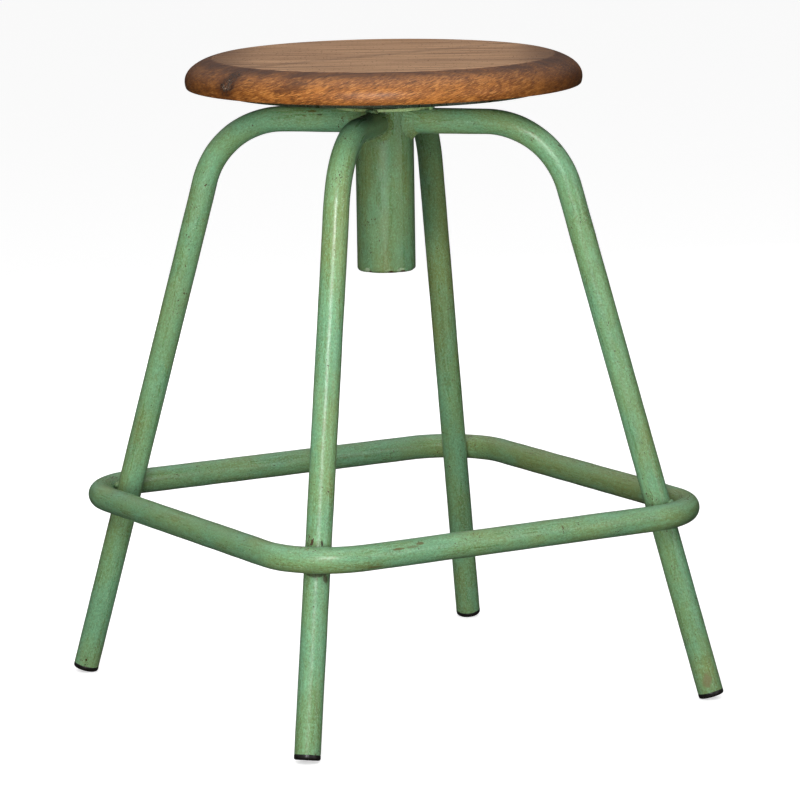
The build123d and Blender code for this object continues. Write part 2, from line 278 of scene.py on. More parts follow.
def store_flow(obj, points, normal, closed=False, seed=0):
    """Stores "flow", the place along a tube's centre line and across it, in metres.

    On a closed loop the place along it is counted both ways from the first point, so that it has no seam.
    """
    count = len(points)
    tree = KDTree(count)
    travelled = [0.0]
    for i, point in enumerate(points):
        tree.insert(point, i)
        travelled.append(travelled[-1] + (points[(i + 1) % count] - point).length)
    tree.balance()
    flow = []
    for vertex in obj.data.vertices:
        centre, i, _ = tree.find(vertex.co)
        before = points[max(i - 1, 0)]
        after = points[min(i + 1, count - 1)]
        along = (after - before).normalized()
        away = vertex.co - centre
        place = travelled[i] + away.dot(along)
        if closed:
            place = abs(place - travelled[-1] / 2)
        flow.append((place, away.dot(normal.cross(along)), away.dot(normal) + SEED_STEP * seed))
    store(obj, "flow", flow)


def turned_solid(name, profile, around=96, closed_profile=False, place=Matrix.Identity(4)):
    """A solid turned about Z from (radius, height) points, closed at the axis where the radius is 0."""
    vertices = []
    faces = []
    rows = []
    for radius, height in profile:
        if radius == 0:
            rows.append([len(vertices)])
            vertices.append(Vector((0, 0, height)))
        else:
            rows.append(list(range(len(vertices), len(vertices) + around)))
            vertices += circle(radius, height, around)
    pairs = list(zip(rows, rows[1:]))
    if closed_profile:
        pairs.append((rows[-1], rows[0]))
    for low, high in pairs:
        for j in range(around):
            k = (j + 1) % around
            if len(low) == 1:
                faces.append((low[0], high[k], high[j]))
            elif len(high) == 1:
                faces.append((low[j], low[k], high[0]))
            else:
                faces.append((low[j], low[k], high[k], high[j]))
    flow = [(v.z, v.x, v.y) for v in vertices]
    obj = new_object(name, [place @ v for v in vertices], faces)
    store(obj, "flow", flow)
    return obj


def smooth_profile(points, steps=6):
    """Points on a smooth curve through the given (radius, height) points."""
    out = []
    count = len(points)
    for i in range(count - 1):
        p0, p1, p2, p3 = [Vector(points[min(max(i + k, 0), count - 1)]) for k in (-1, 0, 1, 2)]
        for k in range(steps):
            t = k / steps
            value = 0.5 * (
                2 * p1
                + (p2 - p0) * t
                + (2 * p0 - 5 * p1 + 4 * p2 - p3) * t * t
                + (3 * p1 - p0 - 3 * p2 + p3) * t * t * t
            )
            out.append((value.x, value.y))
    out.append(tuple(points[-1]))
    return out


def join(name, objects):
    """One object from several."""
    bpy.ops.object.select_all(action="DESELECT")
    for obj in objects:
        obj.select_set(True)
    bpy.context.view_layer.objects.active = objects[0]
    bpy.ops.object.join()
    joined = bpy.context.view_layer.objects.active
    joined.name = name
    joined.data.name = name
    return joined


def finish_piece(obj, body, slot, material, *replaced):
    """Gives the piece its material and body, and hides the CAD nodes that it stands for. slot is not used.
    """
    obj.data.materials.clear()
    obj.data.materials.append(material)
    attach(obj, body)
    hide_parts(*replaced)


# ---- materials

class Nodes:
    """Short names for making shader nodes."""

    def __init__(self, name):
        self.material = bpy.data.materials.new(name)
        self.material.use_nodes = True
        self.tree = self.material.node_tree
        self.shader = self.tree.nodes["Principled BSDF"]

    def put(self, node, index, value):
        if isinstance(value, bpy.types.NodeSocket):
            self.tree.links.new(value, node.inputs[index])
        else:
            node.inputs[index].default_value = value

    def make(self, kind, inputs=None, **settings):
        node = self.tree.nodes.new(kind)
        for key, value in settings.items():
            setattr(node, key, value)
        for index, value in (inputs or {}).items():
            self.put(node, index, value)
        return node

    def attribute(self, name):
        return self.make("ShaderNodeAttribute", attribute_name=name)

    def object_space(self):
        return self.make("ShaderNodeTexCoord").outputs["Object"]

    def stretch(self, vector, scale=(1, 1, 1), shift=(0, 0, 0), turn=(0, 0, 0)):
        inputs = {"Vector": vector, "Location": shift, "Rotation": turn, "Scale": scale}
        return self.make("ShaderNodeMapping", inputs).outputs[0]

    def noise(self, vector, scale, detail=3.0, rough=0.55, distort=0.0):
        """Noise round 0.5, finer with a larger scale."""
        inputs = {"Vector": vector, "Scale": scale, "Detail": detail, "Roughness": rough}
        inputs["Distortion"] = distort
        return self.make("ShaderNodeTexNoise", inputs).outputs["Fac"]

    def streaks(self, vector, stretch, *rest):
        """Noise that is stretched along the axes."""
        return self.noise(self.stretch(vector, stretch), *rest)

    def between(self, value, low, high, to_low=0.0, to_high=1.0, smooth=True):
        """value from low to high becomes to_low to to_high, held at the ends."""
        inputs = {"Value": value, "From Min": low, "From Max": high, "To Min": to_low, "To Max": to_high}
        kind = "SMOOTHSTEP" if smooth else "LINEAR"
        return self.make("ShaderNodeMapRange", inputs, interpolation_type=kind, clamp=True).outputs[0]

    def maths(self, operation, a, b=0.0):
        return self.make("ShaderNodeMath", {0: a, 1: b}, operation=operation).outputs[0]

    def plus(self, a, b):
        return self.maths("ADD", a, b)

    def times(self, a, b):
        return self.maths("MULTIPLY", a, b)

    def around_zero(self, value, size):
        """Noise, which lies round 0.5, brought round 0 and given a size."""
        return self.times(self.maths("SUBTRACT", value, 0.5), size)

    def away(self, vector, centre):
        """The way from a centre to a place."""
        inputs = {0: vector, 1: tuple(centre)}
        return self.make("ShaderNodeVectorMath", inputs, operation="SUBTRACT").outputs[0]

    def length(self, vector):
        return self.make("ShaderNodeVectorMath", {0: vector}, operation="LENGTH").outputs["Value"]

    def mix(self, share, a, b):
        """Colour a, turning to b as share goes from 0 to 1."""
        node = self.make("ShaderNodeMix", data_type="RGBA")
        self.put(node, "Factor", share)
        self.put(node, COLOR_A, a)
        self.put(node, COLOR_B, b)
        return node.outputs[COLOR_OUT]

    def layers(self, color, layers):
        """More colours over a colour, each (value, from, to, share reached at to, colour)."""
        for value, low, high, share, over in layers:
            color = self.mix(self.between(value, low, high, 0.0, share), color, over)
        return color

    def bump(self, height, distance, strength=1.0, normal=None):
        node = self.make("ShaderNodeBump", {"Height": height, "Distance": distance, "Strength": strength})
        if normal:
            self.put(node, "Normal", normal)
        return node.outputs[0]

    def set(self, **values):
        names = {
            "color": "Base Color", "rough": "Roughness", "metal": "Metallic", "normal": "Normal",
            "coat": "Coat Weight", "coat_rough": "Coat Roughness", "spec": "Specular IOR Level",
            "glow": "Emission Strength", "glow_color": "Emission Color",
        }
        for key, value in values.items():
            self.put(self.shader, names[key], value)
        return self.material


def paint_material(name, base, bluish, olive, seed, marks=()):
    """Hand-brushed paint, rubbed and worn, over rusting steel.

    It reads "flow", the place on the surface, and "grime_and_shade", how dirty it is there and how much
    painted shade it gets. marks are single
    stains, and a painted shadow: (centre, reach along X, Y and Z, colour, share).
    """
    n = Nodes(name)
    flow = n.attribute("flow").outputs["Vector"]
    grime_and_shade = n.attribute("grime_and_shade").outputs["Fac"]
    place = n.stretch(flow, shift=(seed, 0, 0))
    space = n.object_space()

    # Changes of colour, from wide drifts along the tube down to grit a millimetre across
    drift = n.streaks(place, (0.40, 1, 1), 34, 4, 0.6)
    drift_wide = n.streaks(place, (0.45, 1, 1), 13, 3, 0.6)
    brush = n.streaks(place, (0.12, 1, 1), 380, 4, 0.7)
    brush_wide = n.streaks(place, (0.10, 1, 1), 120, 3, 0.6)
    mottle = n.noise(place, 300, 5, 0.75)
    grit = n.streaks(place, (0.6, 1, 1), 700, 3, 0.75)

    pale = tuple(min(1.0, c * 1.45 + 0.02) for c in bluish[:3]) + (1,)
    dark = tuple(c * 0.55 for c in olive[:3]) + (1,)
    color = n.mix(n.between(drift, 0.40, 0.62), base, bluish)
    color = n.layers(color, [
        (drift_wide, 0.45, 0.66, 0.90, olive),
        (brush_wide, 0.52, 0.75, 0.40, pale),
        (brush_wide, 0.46, 0.28, 0.40, dark),
        (brush, 0.55, 0.72, 0.25, pale),
        (brush, 0.45, 0.28, 0.28, dark),
        (mottle, 0.53, 0.68, 0.45, olive),
        (grit, 0.52, 0.62, 0.50, dark),
        (grit, 0.48, 0.38, 0.50, pale),
    ])

    # Thin places where the brown undercoat shows through, in patches, and round the welds and under parts,
    # where it also stands for painted shade
    patch = n.streaks(place, (0.55, 1, 1), 42, 5, 0.68)
    thin = n.plus(n.between(patch, 0.56, 0.74, 0.0, 0.75), n.times(grime_and_shade, 0.8))
    grain = n.between(n.noise(place, 420, 4, 0.7), 0.40, 0.64)
    thin = n.times(thin, grain)
    color = n.mix(n.between(thin, 0.1, 1.0, 0.0, 0.70), color, UNDERCOAT)

    # Bloom: fine pale scuffs
    scuff = n.between(n.noise(place, 900, 2, 0.5), 0.66, 0.72, 0.0, 0.5)
    color = n.mix(scuff, color, SCUFF)

    # Chips: small spots where paint is gone, and rust shows
    chip = n.streaks(place, (0.7, 1, 1), 640, 2, 0.5)
    chip_area = n.noise(place, 60, 3, 0.6)
    chip = n.plus(chip, n.times(n.between(chip_area, 0.40, 0.75), 0.17))
    # More rust spots where there is dirt and painted shade
    chip = n.plus(chip, n.times(grime_and_shade, 0.13))
    chip = n.between(chip, 0.755, 0.80)
    color = n.mix(chip, color, RUST_DEEP)

    # Single stains, and a painted shadow, with ragged edges
    ragged = n.times(n.maths("SUBTRACT", n.plus(mottle, grit), 1.0), 1.5)
    for centre, reach, stain, share in marks:
        far = n.length(n.stretch(n.away(space, centre), tuple(1.0 / r for r in reach)))
        far = n.plus(far, ragged)
        color = n.mix(n.between(far, 1.1, 0.8, 0.0, share), color, stain)

    rough = n.between(brush_wide, 0.3, 0.7, 0.25, 0.37)
    rough = n.plus(rough, n.times(chip, 0.3))
    height = n.times(brush, 0.5)
    height = n.plus(height, n.times(mottle, 0.6))
    height = n.plus(height, n.times(grit, 0.5))
    height = n.plus(height, n.times(chip, -0.8))
    fine = n.bump(height, 0.00022, 0.55)
    wide = n.bump(n.noise(place, 70, 2), 0.0009, 0.45, fine)
    return n.set(color=color, rough=rough, normal=wide, spec=0.5)


def growth_rings(n, local, across, up):
    """0 to 1 and back with each ring round a pith that lies below the seat."""
    bend = n.streaks(local, (1.3, 5, 5), 3.0, 3, 0.55)
    bend_fine = n.streaks(local, (5, 26, 26), 1.0, 3, 0.6)
    side = n.times(n.plus(across, n.around_zero(bend, 0.055)), 0.8)
    rise = n.maths("SUBTRACT", up, SEAT_HIGH.z - PITH_DEPTH)
    from_pith = n.make("ShaderNodeCombineXYZ", {0: 0.0, 1: side, 2: rise}).outputs[0]
    ring = n.plus(n.length(from_pith), n.around_zero(bend_fine, 0.020))
    return n.between(n.maths("SINE", n.times(ring, TAU / RING_GAP)), -1.0, 1.0, smooth=False)


def knot_in(n, color, local, fleck_wide):
    """The branch that comes out of the seat's side, left of the front: (colour, cracks)."""
    dark = (0.050, 0.016, 0.005, 1)
    pale = (0.40, 0.34, 0.27, 1)
    black = (0.010, 0.006, 0.004, 1)
    knot = n.stretch(n.away(local, KNOT), turn=(0, 0, KNOT_TURN))
    far = n.plus(n.length(n.stretch(knot, (1, 0, 1))), n.around_zero(fleck_wide, 0.012))
    color = n.mix(n.times(n.between(far, 0.020, 0.006), 0.85), color, dark)

    # Cracks run where the noise crosses its middle, and have pale edges near the knot's centre
    crack = n.streaks(knot, (330, 60, 150), 1.0, 2, 0.6, 1.2)
    crack = n.maths("ABSOLUTE", n.maths("SUBTRACT", crack, 0.5))
    edge = n.times(n.between(crack, 0.056, 0.048), n.between(far, 0.0070, 0.0055))
    color = n.mix(n.times(edge, 0.55), color, pale)
    crack = n.times(n.between(crack, 0.044, 0.032), n.between(far, 0.0115, 0.0085))
    return n.mix(crack, color, black), crack


def wood_material(name):
    """Oiled hardwood with wavy fibres. Its grain runs left to right as seen from the front."""
    light = (0.285, 0.103, 0.020, 1)
    middle = (0.145, 0.045, 0.009, 1)
    deep = (0.050, 0.015, 0.004, 1)
    fleck_light = (0.440, 0.195, 0.052, 1)
    pore_dark = (0.045, 0.018, 0.007, 1)
    top_light = (0.530, 0.300, 0.155, 1)
    top_middle = (0.270, 0.135, 0.062, 1)
    top_deep = (0.150, 0.070, 0.032, 1)
    top_warm = (0.330, 0.160, 0.060, 1)

    n = Nodes(name)
    local = n.stretch(n.object_space(), turn=(0, 0, -CAMERA_AZIMUTH))
    parts = n.make("ShaderNodeSeparateXYZ", {0: local})
    along, across, up = parts.outputs[0], parts.outputs[1], parts.outputs[2]
    reach = n.maths("ABSOLUTE", along)
    on_top = n.between(up, SEAT_HIGH.z - 0.7 * MM, SEAT_HIGH.z - 0.1 * MM)
    under_crease = n.between(up, SEAT_HIGH.z - 7.5 * MM, SEAT_HIGH.z - 2.5 * MM)

    bands = growth_rings(n, local, across, up)
    cloud = n.streaks(local, (7, 12, 30), 1.0, 3, 0.5)
    streak = n.streaks(local, (7, 260, 260), 1.0, 4, 0.65)
    streak_wide = n.streaks(local, (4, 95, 95), 1.0, 4, 0.65)
    wave = n.stretch(local, turn=(0, GRAIN_SLOPE, 0))
    fleck = n.streaks(wave, (150, 150, 1150), 1.0, 4, 0.74, 0.30)
    fleck_wide = n.streaks(wave, (90, 90, 260), 1.0, 4, 0.68, 0.8)

    color = n.layers(light, [
        (bands, 0.2, 1.0, 0.55, middle),
        (cloud, 0.42, 0.66, 0.90, middle),
        (cloud, 0.56, 0.74, 0.70, deep),
        (streak_wide, 0.52, 0.72, 0.50, deep),
        (fleck_wide, 0.50, 0.68, 0.50, deep),
        (fleck, 0.52, 0.62, 0.70, fleck_light),
        (fleck, 0.48, 0.38, 0.80, deep),
    ])
    # Painted shade: a darker band just under the crease
    shade = n.times(under_crease, n.between(streak_wide, 0.35, 0.6, 0.35, 0.85))
    color = n.mix(shade, color, deep)

    # The flat top, sanded and worn greyer, and made paler by a painted sheen, with straighter and finer
    # streaks
    top = n.layers(top_light, [
        (streak, 0.44, 0.60, 1.0, top_middle),
        (streak_wide, 0.54, 0.70, 0.65, top_deep),
        (cloud, 0.52, 0.72, 0.40, top_warm),
    ])
    color = n.mix(n.times(on_top, n.between(reach, 0.115, 0.165, 1.0, 0.30)), color, top)

    # Darker towards the left and right ends as seen from the front: end grain that drinks more oil, and
    # painted shade where the side turns away from the light
    ends = n.between(reach, 0.095, 0.185, 0.0, 0.54)
    color = n.mix(n.times(ends, n.between(on_top, 0.0, 1.0, 1.0, 0.55)), color, deep)

    # Open pores: short dark dashes along the grain
    pore = n.between(n.streaks(wave, (170, 170, 1500), 1.0, 2, 0.5), 0.64, 0.70)
    color = n.mix(n.times(pore, 0.75), color, pore_dark)

    # A dark flame figure
    figure = n.length(n.stretch(n.away(wave, FIGURE), (70, 20, 190)))
    figure = n.plus(figure, n.around_zero(fleck_wide, 4.0))
    color = n.mix(n.between(figure, 1.3, 0.5, 0.0, 0.65), color, deep)
    color, crack = knot_in(n, color, local, fleck_wide)

    rough = n.between(streak, 0.3, 0.7, 0.38, 0.50)
    rough = n.plus(rough, n.times(pore, 0.2))
    height = n.plus(n.times(fleck, 0.6), n.times(pore, -0.9))
    height = n.plus(height, n.times(crack, -4.0))
    normal = n.bump(height, 0.00016, 0.6)
    return n.set(color=color, rough=rough, normal=normal, spec=0.36, coat=0.05, coat_rough=0.30)


def steel_material(name, base, rough_low, rough_high, grease=0.0):
    """Machined steel with turning marks and a film of dirty grease."""
    rust = (0.10, 0.045, 0.02, 1)
    n = Nodes(name)
    space = n.object_space()
    lathe = n.streaks(space, (18, 18, 2600), 1.0, 3, 0.6)
    smear = n.noise(space, 55, 4, 0.65)
    speck = n.noise(space, 900, 2)
    dark = tuple(c * 0.35 for c in base[:3]) + (1,)
    color = n.mix(n.between(smear, 0.42, 0.70, 0.0, 0.5 + 0.4 * grease), base, dark)
    color = n.mix(n.between(speck, 0.66, 0.72, 0.0, 0.6), color, rust)
    rough = n.between(smear, 0.3, 0.7, rough_low, rough_high)
    return n.set(color=color, rough=rough, metal=1.0, normal=n.bump(lathe, 0.00006, 0.5))


def plastic_material(name):
    """Black moulded plastic, scuffed and dusty."""
    black = (0.007, 0.006, 0.005, 1)
    dusty = (0.040, 0.035, 0.030, 1)
    n = Nodes(name)
    space = n.object_space()
    grain = n.noise(space, 2400, 3, 0.6)
    scuff = n.streaks(space, (1, 1, 4), 160, 4, 0.7)
    color = n.mix(n.between(scuff, 0.58, 0.78, 0.0, 0.4), black, dusty)
    rough = n.between(scuff, 0.3, 0.7, 0.24, 0.46)
    return n.set(color=color, rough=rough, normal=n.bump(grain, 0.00005, 0.6))


def floor_material():
    """Plain pale studio floor, lifted towards white as a lit sweep is."""
    n = Nodes("studio_floor")
    white = (1, 1, 1, 1)
    grey = (0.80, 0.80, 0.80, 1)
    return n.set(color=grey, rough=0.9, spec=0.0, glow_color=white, glow=FLOOR_GLOW)


def radius_of_leg_at(z):
    """Distance from the stool's axis to a straight leg's centre line at height z."""
    return LEG_FOOT_RADIUS - z * math.tan(LEG_TILT)


def leg_end():
    """Centre of the end of a leg's tube, for a leg along +X."""
    drop = CAP_ROUND * (1 - math.cos(LEG_TILT)) + (TUBE_R - CAP_ROUND) * math.sin(LEG_TILT)
    return Vector((radius_of_leg_at(drop), 0, drop)) + UP_LEG * CAP_FLANGE


def leg_points():
    """Centre line of a leg along +X, from inside the hub to the end of the tube."""
    corner = Vector((radius_of_leg_at(ARM_Z), 0, ARM_Z))
    turn = math.pi / 2 - LEG_TILT
    tangent = LEG_BEND_R * math.tan(turn / 2)
    arm_end = corner - Vector((tangent, 0, 0))
    foot = leg_end()
    bend_end = corner - UP_LEG * tangent
    centre = arm_end - Vector((0, 0, LEG_BEND_R))
    points = line_points(Vector((HUB_R - IN_HUB, 0, ARM_Z)), arm_end, RUN_STEP)
    points += arc_points(centre, Vector((0, 0, LEG_BEND_R)), Vector((0, 1, 0)), turn, BEND_STEP)
    points += line_points(bend_end, foot, RUN_STEP)
    points.append(foot)
    return points


def turned_point(point, degrees):
    """A point turned about the stool's axis."""
    return Matrix.Rotation(math.radians(degrees), 3, "Z") @ point


def leg_mark(angle, height, turn, reach, color, share):
    """A stain on a leg: its height, its turn from the leg's outer side, its reach up and across in mm."""
    centre = turned_point(Vector((radius_of_leg_at(height), 0, height)), angle)
    centre += turned_point(Vector((TUBE_R, 0, 0)), angle + turn)
    return centre, (reach[1] * MM, reach[1] * MM, reach[0] * MM), color, share


def arm_mark(angle, out, lean, reach, color, share):
    """A stain on a leg's level arm: how far out it is, its lean up from the arm's side, its reach in mm."""
    lean = math.radians(lean)
    on_arm = Vector((out, TUBE_R * math.cos(lean), ARM_Z + TUBE_R * math.sin(lean)))
    return turned_point(on_arm, angle), (reach[0] * MM, reach[0] * MM, reach[1] * MM), color, share


def hub_point(turn, height):
    """A point of the hub's surface: its turn from the front, and its height over the lower edge."""
    return turned_point(Vector((0, -HUB_R, HUB_LOW.z + height)), math.degrees(CAMERA_AZIMUTH) + turn)


def footrest_mark(along, height, reach, color, share):
    """A stain on the footrest's right-hand front bar: its X, then its height and reach in mm."""
    height *= MM
    depth = math.sqrt(TUBE_R ** 2 - height ** 2)
    centre = Vector((along, -LOOP_HALF - depth, LOOP_Z + height))
    inward = 3 * MM
    return centre, (reach[0] * MM, inward, reach[1] * MM), color, share


def paint_marks():
    """Cracks, chips, thin patches and dark stains that stand out on the paint, and a painted shadow round
    the front leg under the footrest.
    """
    front, right, left = LEG_ANGLES["front"], LEG_ANGLES["right"], LEG_ANGLES["left"]
    above = LOOP_Z + TUBE_R
    marks = [
        leg_mark(front, above + 0.5 * MM, -13, (5.0, 1.2), RUST, 1.0),
        leg_mark(front, above - 0.5 * MM, 29, (4.2, 1.0), DARK_STAIN_AND_SHADE, 0.95),
        # Painted shadow round the front leg under the footrest, over dark paint
        leg_mark(front, LOOP_Z - 15.5 * MM, 14, (2.6, 12), DARK_STAIN_AND_SHADE, 0.8),
        leg_mark(front, LOOP_Z - 20.5 * MM, 55, (4.0, 3.0), RUST, 0.75),
        leg_mark(right, 21 * MM, -76, (7.5, 4.6), THIN_PATCH, 0.65),
        leg_mark(left, 14 * MM, 98, (1.3, 0.9), RUST, 1.0),
        leg_mark(left, 9 * MM, 99, (0.7, 0.6), DARK_STAIN_AND_SHADE, 0.9),
        arm_mark(left, 0.070, 44, (4.5, 1.0), OCHRE, 0.85),
        arm_mark(left, 0.062, 27, (3.0, 0.8), RUST, 0.80),
        arm_mark(left, 0.077, 20, (2.5, 0.7), OCHRE, 0.80),
        footrest_mark(-0.133, 6.6, (6.0, 1.0), OCHRE, 0.85),
        footrest_mark(-0.117, 6.9, (7.0, 1.1), OCHRE, 0.55),
        footrest_mark(-0.108, 8.8, (4.5, 1.3), OCHRE, 0.85),
        footrest_mark(-0.158, -7.5, (9.0, 1.2), OCHRE, 0.60),
    ]
    for turn, deep in HUB_CHIPS:
        bare = hub_point(turn, 2.2 * MM)
        rusty = hub_point(turn + 5, 0.8 * MM)
        marks.append((bare, (3.6 * MM, 3.6 * MM, 2.4 * MM), PALE_CHIP, deep / MM * 0.7))
        marks.append((rusty, (3.2 * MM, 3.2 * MM, 1.6 * MM), RUST, 0.95))
    return marks


GREEN = paint_material(
    "green_paint",
    (0.130, 0.235, 0.100, 1), (0.118, 0.262, 0.142, 1), (0.160, 0.205, 0.064, 1), 0.0, paint_marks(),
)
GREEN_FRAME = ("frame", "green_paint", GREEN)
# The frame's green darkened for the hub under the seat: painted shade
HUB_GREEN_PAINTED_SHADE = paint_material(
    "hub_paint_painted_shade",
    (0.110, 0.200, 0.084, 1), (0.100, 0.220, 0.116, 1), (0.134, 0.172, 0.052, 1), 0.0, paint_marks(),
)
# The disc's green, paler and yellower than the frame's: a painted highlight for the light its rim catches
DISC_GREEN_PAINTED_HIGHLIGHT = paint_material(
    "disc_paint_painted_highlight", (0.270, 0.370, 0.150, 1), (0.250, 0.380, 0.170, 1), (0.300, 0.330, 0.110, 1), 6.7,
)
# Green darkened to near black for the seat plate and collar: painted shade under the seat
DARK_GREEN_PAINTED_SHADE = paint_material(
    "dark_paint", (0.018, 0.025, 0.014, 1), (0.014, 0.028, 0.017, 1), (0.021, 0.022, 0.010, 1), 3.1,
)
WOOD = wood_material("seat_wood")
SCREW_STEEL = steel_material("screw_steel", (0.52, 0.50, 0.44, 1), 0.28, 0.50)
SPINDLE_STEEL = steel_material("spindle_steel", (0.36, 0.34, 0.31, 1), 0.26, 0.48, grease=1.0)
PLASTIC = plastic_material("black_plastic")


# ---- pieces

def near(value, centre, width):
    """1 at centre, falling to 0 at width away."""
    return max(0.0, 1.0 - abs(value - centre) / width)


def grime_and_shade_on(obj, places):
    """Stores "grime_and_shade", dirt with painted shade: high close to the given points, and a little near
    the floor.
    """
    values = []
    for vertex in obj.data.vertices:
        share = 0.0
        for centre, reach in places:
            share = max(share, 1.0 - (vertex.co - centre).length / reach)
        share = max(share, 0.5 * (1.0 - vertex.co.z / FLOOR_DIRT))
        values.append(min(1.0, max(0.0, share)))
    store(obj, "grime_and_shade", values)


def weld_places(angle):
    """Where a leg is welded, with how far dirt and painted shade spread."""
    at_footrest = turned_point(Vector((radius_of_leg_at(LOOP_Z) + TUBE_R, 0, LOOP_Z)), angle)
    at_hub = turned_point(Vector((HUB_R, 0, ARM_Z)), angle)
    at_disc = turned_point(Vector((DISC_R, 0, DISC_LOW.z)), angle)
    return [(at_footrest, WELD_DIRT_AND_SHADE), (at_hub, WELD_DIRT_AND_SHADE), (at_disc, 0.6 * WELD_DIRT_AND_SHADE)]


def make_legs():
    """The four bent tubes."""
    for number, (name, angle) in enumerate(LEG_ANGLES.items(), start=1):
        points = [turned_point(p, angle) for p in leg_points()]
        normal = turned_point(Vector((0, 1, 0)), angle)
        leg = tube(f"leg_{name}_tube", points, TUBE_R, normal, bore=TUBE_R - TUBE_WALL, seed=number)
        store_flow(leg, points, normal, seed=number)
        grime_and_shade_on(leg, weld_places(angle))
        finish_piece(leg, *GREEN_FRAME, f"leg_{name}")


def make_footrest():
    """The closed loop, with its vent hole."""
    straight = LOOP_HALF - LOOP_CORNER_R
    points = []
    for quarter in range(4):
        start = Vector((LOOP_HALF, -straight, 0))
        end = Vector((LOOP_HALF, straight, 0))
        centre = Vector((straight, straight, 0))
        side = line_points(start, end, RUN_STEP)
        corner = arc_points(centre, end - centre, Vector((0, 0, 1)), TAU / 4, BEND_STEP)
        points += [turned_point(p, 90 * quarter) + Vector((0, 0, LOOP_Z)) for p in side + corner]
    # The list starts in the middle of a side, where the unrolled pattern turns back on itself
    shift = round(straight / RUN_STEP)
    points = points[shift:] + points[:shift]
    loop = tube("footrest_loop", points, TUBE_R, Vector((0, 0, 1)), seed=9)
    drill_vent(loop)
    store_flow(loop, points, Vector((0, 0, 1)), closed=True, seed=9)
    places = [spot for angle in LEG_ANGLES.values() for spot in weld_places(angle)[:1]]
    grime_and_shade_on(loop, places)
    finish_piece(loop, *GREEN_FRAME, "footrest")


def drill_vent(loop):
    """The hole half way up the inner side of one bar, as deep as it can be seen into."""
    inner_face = Vector((-LOOP_HALF + TUBE_R, 0, LOOP_Z))
    place = Matrix.Translation(inner_face) @ Matrix.Rotation(TAU / 4, 4, "Y")
    deep = 4 * TUBE_WALL
    profile = [(0.0, -deep), (VENT_R, -deep), (VENT_R, deep), (0.0, deep)]
    cut_away(loop, turned_solid("cutter", profile, around=32, place=place))


def cut_away(obj, *cutters):
    """Cuts the cutters out of an object and deletes them."""
    for cutter in cutters:
        modifier = obj.modifiers.new("cut", "BOOLEAN")
        modifier.object = cutter
        modifier.solver = "EXACT"
        bpy.context.view_layer.objects.active = obj
        bpy.ops.object.modifier_apply(modifier=modifier.name)
        bpy.data.objects.remove(cutter)


def make_hub():
    """The hub with a ground, chipped lower edge."""
    bore = HUB_R - HUB_WALL
    ease = 2.5 * MM
    body_low = HUB_LOW.z + ease
    profile = [(bore, HUB_HIGH.z), (bore, HUB_LOW.z)]
    for i in range(9):
        t = i / 8
        bulge = 0.25 * MM * math.sin(math.pi * t)
        radius = HUB_R - 0.75 * ease * (1 - t) + bulge
        profile.append((radius, body_low - ease * (1 - t) - bulge * (1 - t)))
    rows = 120
    profile += [(HUB_R, body_low + (HUB_HIGH.z - body_low) * i / rows) for i in range(1, rows + 1)]
    hub = turned_solid("hub_shell", profile, around=180, closed_profile=True)
    for vertex in hub.data.vertices:
        out = Vector((vertex.co.x, vertex.co.y, 0))
        if out.length < bore + 0.4 * MM:
            continue
        dent = abs(noise.noise(vertex.co * 45)) * 0.12 * MM
        for turn, deep in HUB_CHIPS:
            far = (vertex.co - hub_point(turn, 0.0)).length + 1.2 * MM * noise.noise(vertex.co * 500)
            dent = max(dent, deep * min(1.0, 1.8 * near(far, 0.0, 5.5 * MM)))
        vertex.co -= out.normalized() * dent
    store(hub, "flow", [(v.co.z, v.co.x, v.co.y + 1.9) for v in hub.data.vertices])
    grime_and_shade_on(hub, [weld_places(angle)[1] for angle in LEG_ANGLES.values()])
    # The lower edge darkened all round: painted shade, with the dirt of its chips
    grime_and_shade = hub.data.attributes["grime_and_shade"].data
    for i, vertex in enumerate(hub.data.vertices):
        grime_and_shade[i].value = max(grime_and_shade[i].value, 0.9 * near(vertex.co.z, HUB_LOW.z, 5 * MM))
    finish_piece(hub, "frame", "green_paint", HUB_GREEN_PAINTED_SHADE, "hub_tube")


def make_hub_disc():
    """The thin disc on the hub, cut by hand, so that its rim isn't quite even."""
    hole = 16.0 * MM
    thick = DISC_HIGH.z - DISC_LOW.z
    ease = 0.5 * MM
    profile = [
        (hole, DISC_LOW.z), (DISC_R - ease, DISC_LOW.z), (DISC_R, DISC_LOW.z + ease),
        (DISC_R, DISC_HIGH.z - ease), (DISC_R - ease, DISC_HIGH.z), (hole, DISC_HIGH.z),
    ]
    disc = turned_solid("hub_disc_plate", profile, around=128, closed_profile=True)
    for vertex in disc.data.vertices:
        reach = Vector((vertex.co.x, vertex.co.y, 0))
        if reach.length > DISC_R - 2 * MM:
            vertex.co -= reach.normalized() * 0.5 * MM * abs(noise.noise(reach * 60))
    # Dirt and painted shade, strongest towards the middle of the underside
    grime_and_shade_on(disc, [(Vector((0, 0, DISC_LOW.z - thick)), 0.045)])
    finish_piece(disc, "frame", "green_paint", DISC_GREEN_PAINTED_HIGHLIGHT, "hub_disc")


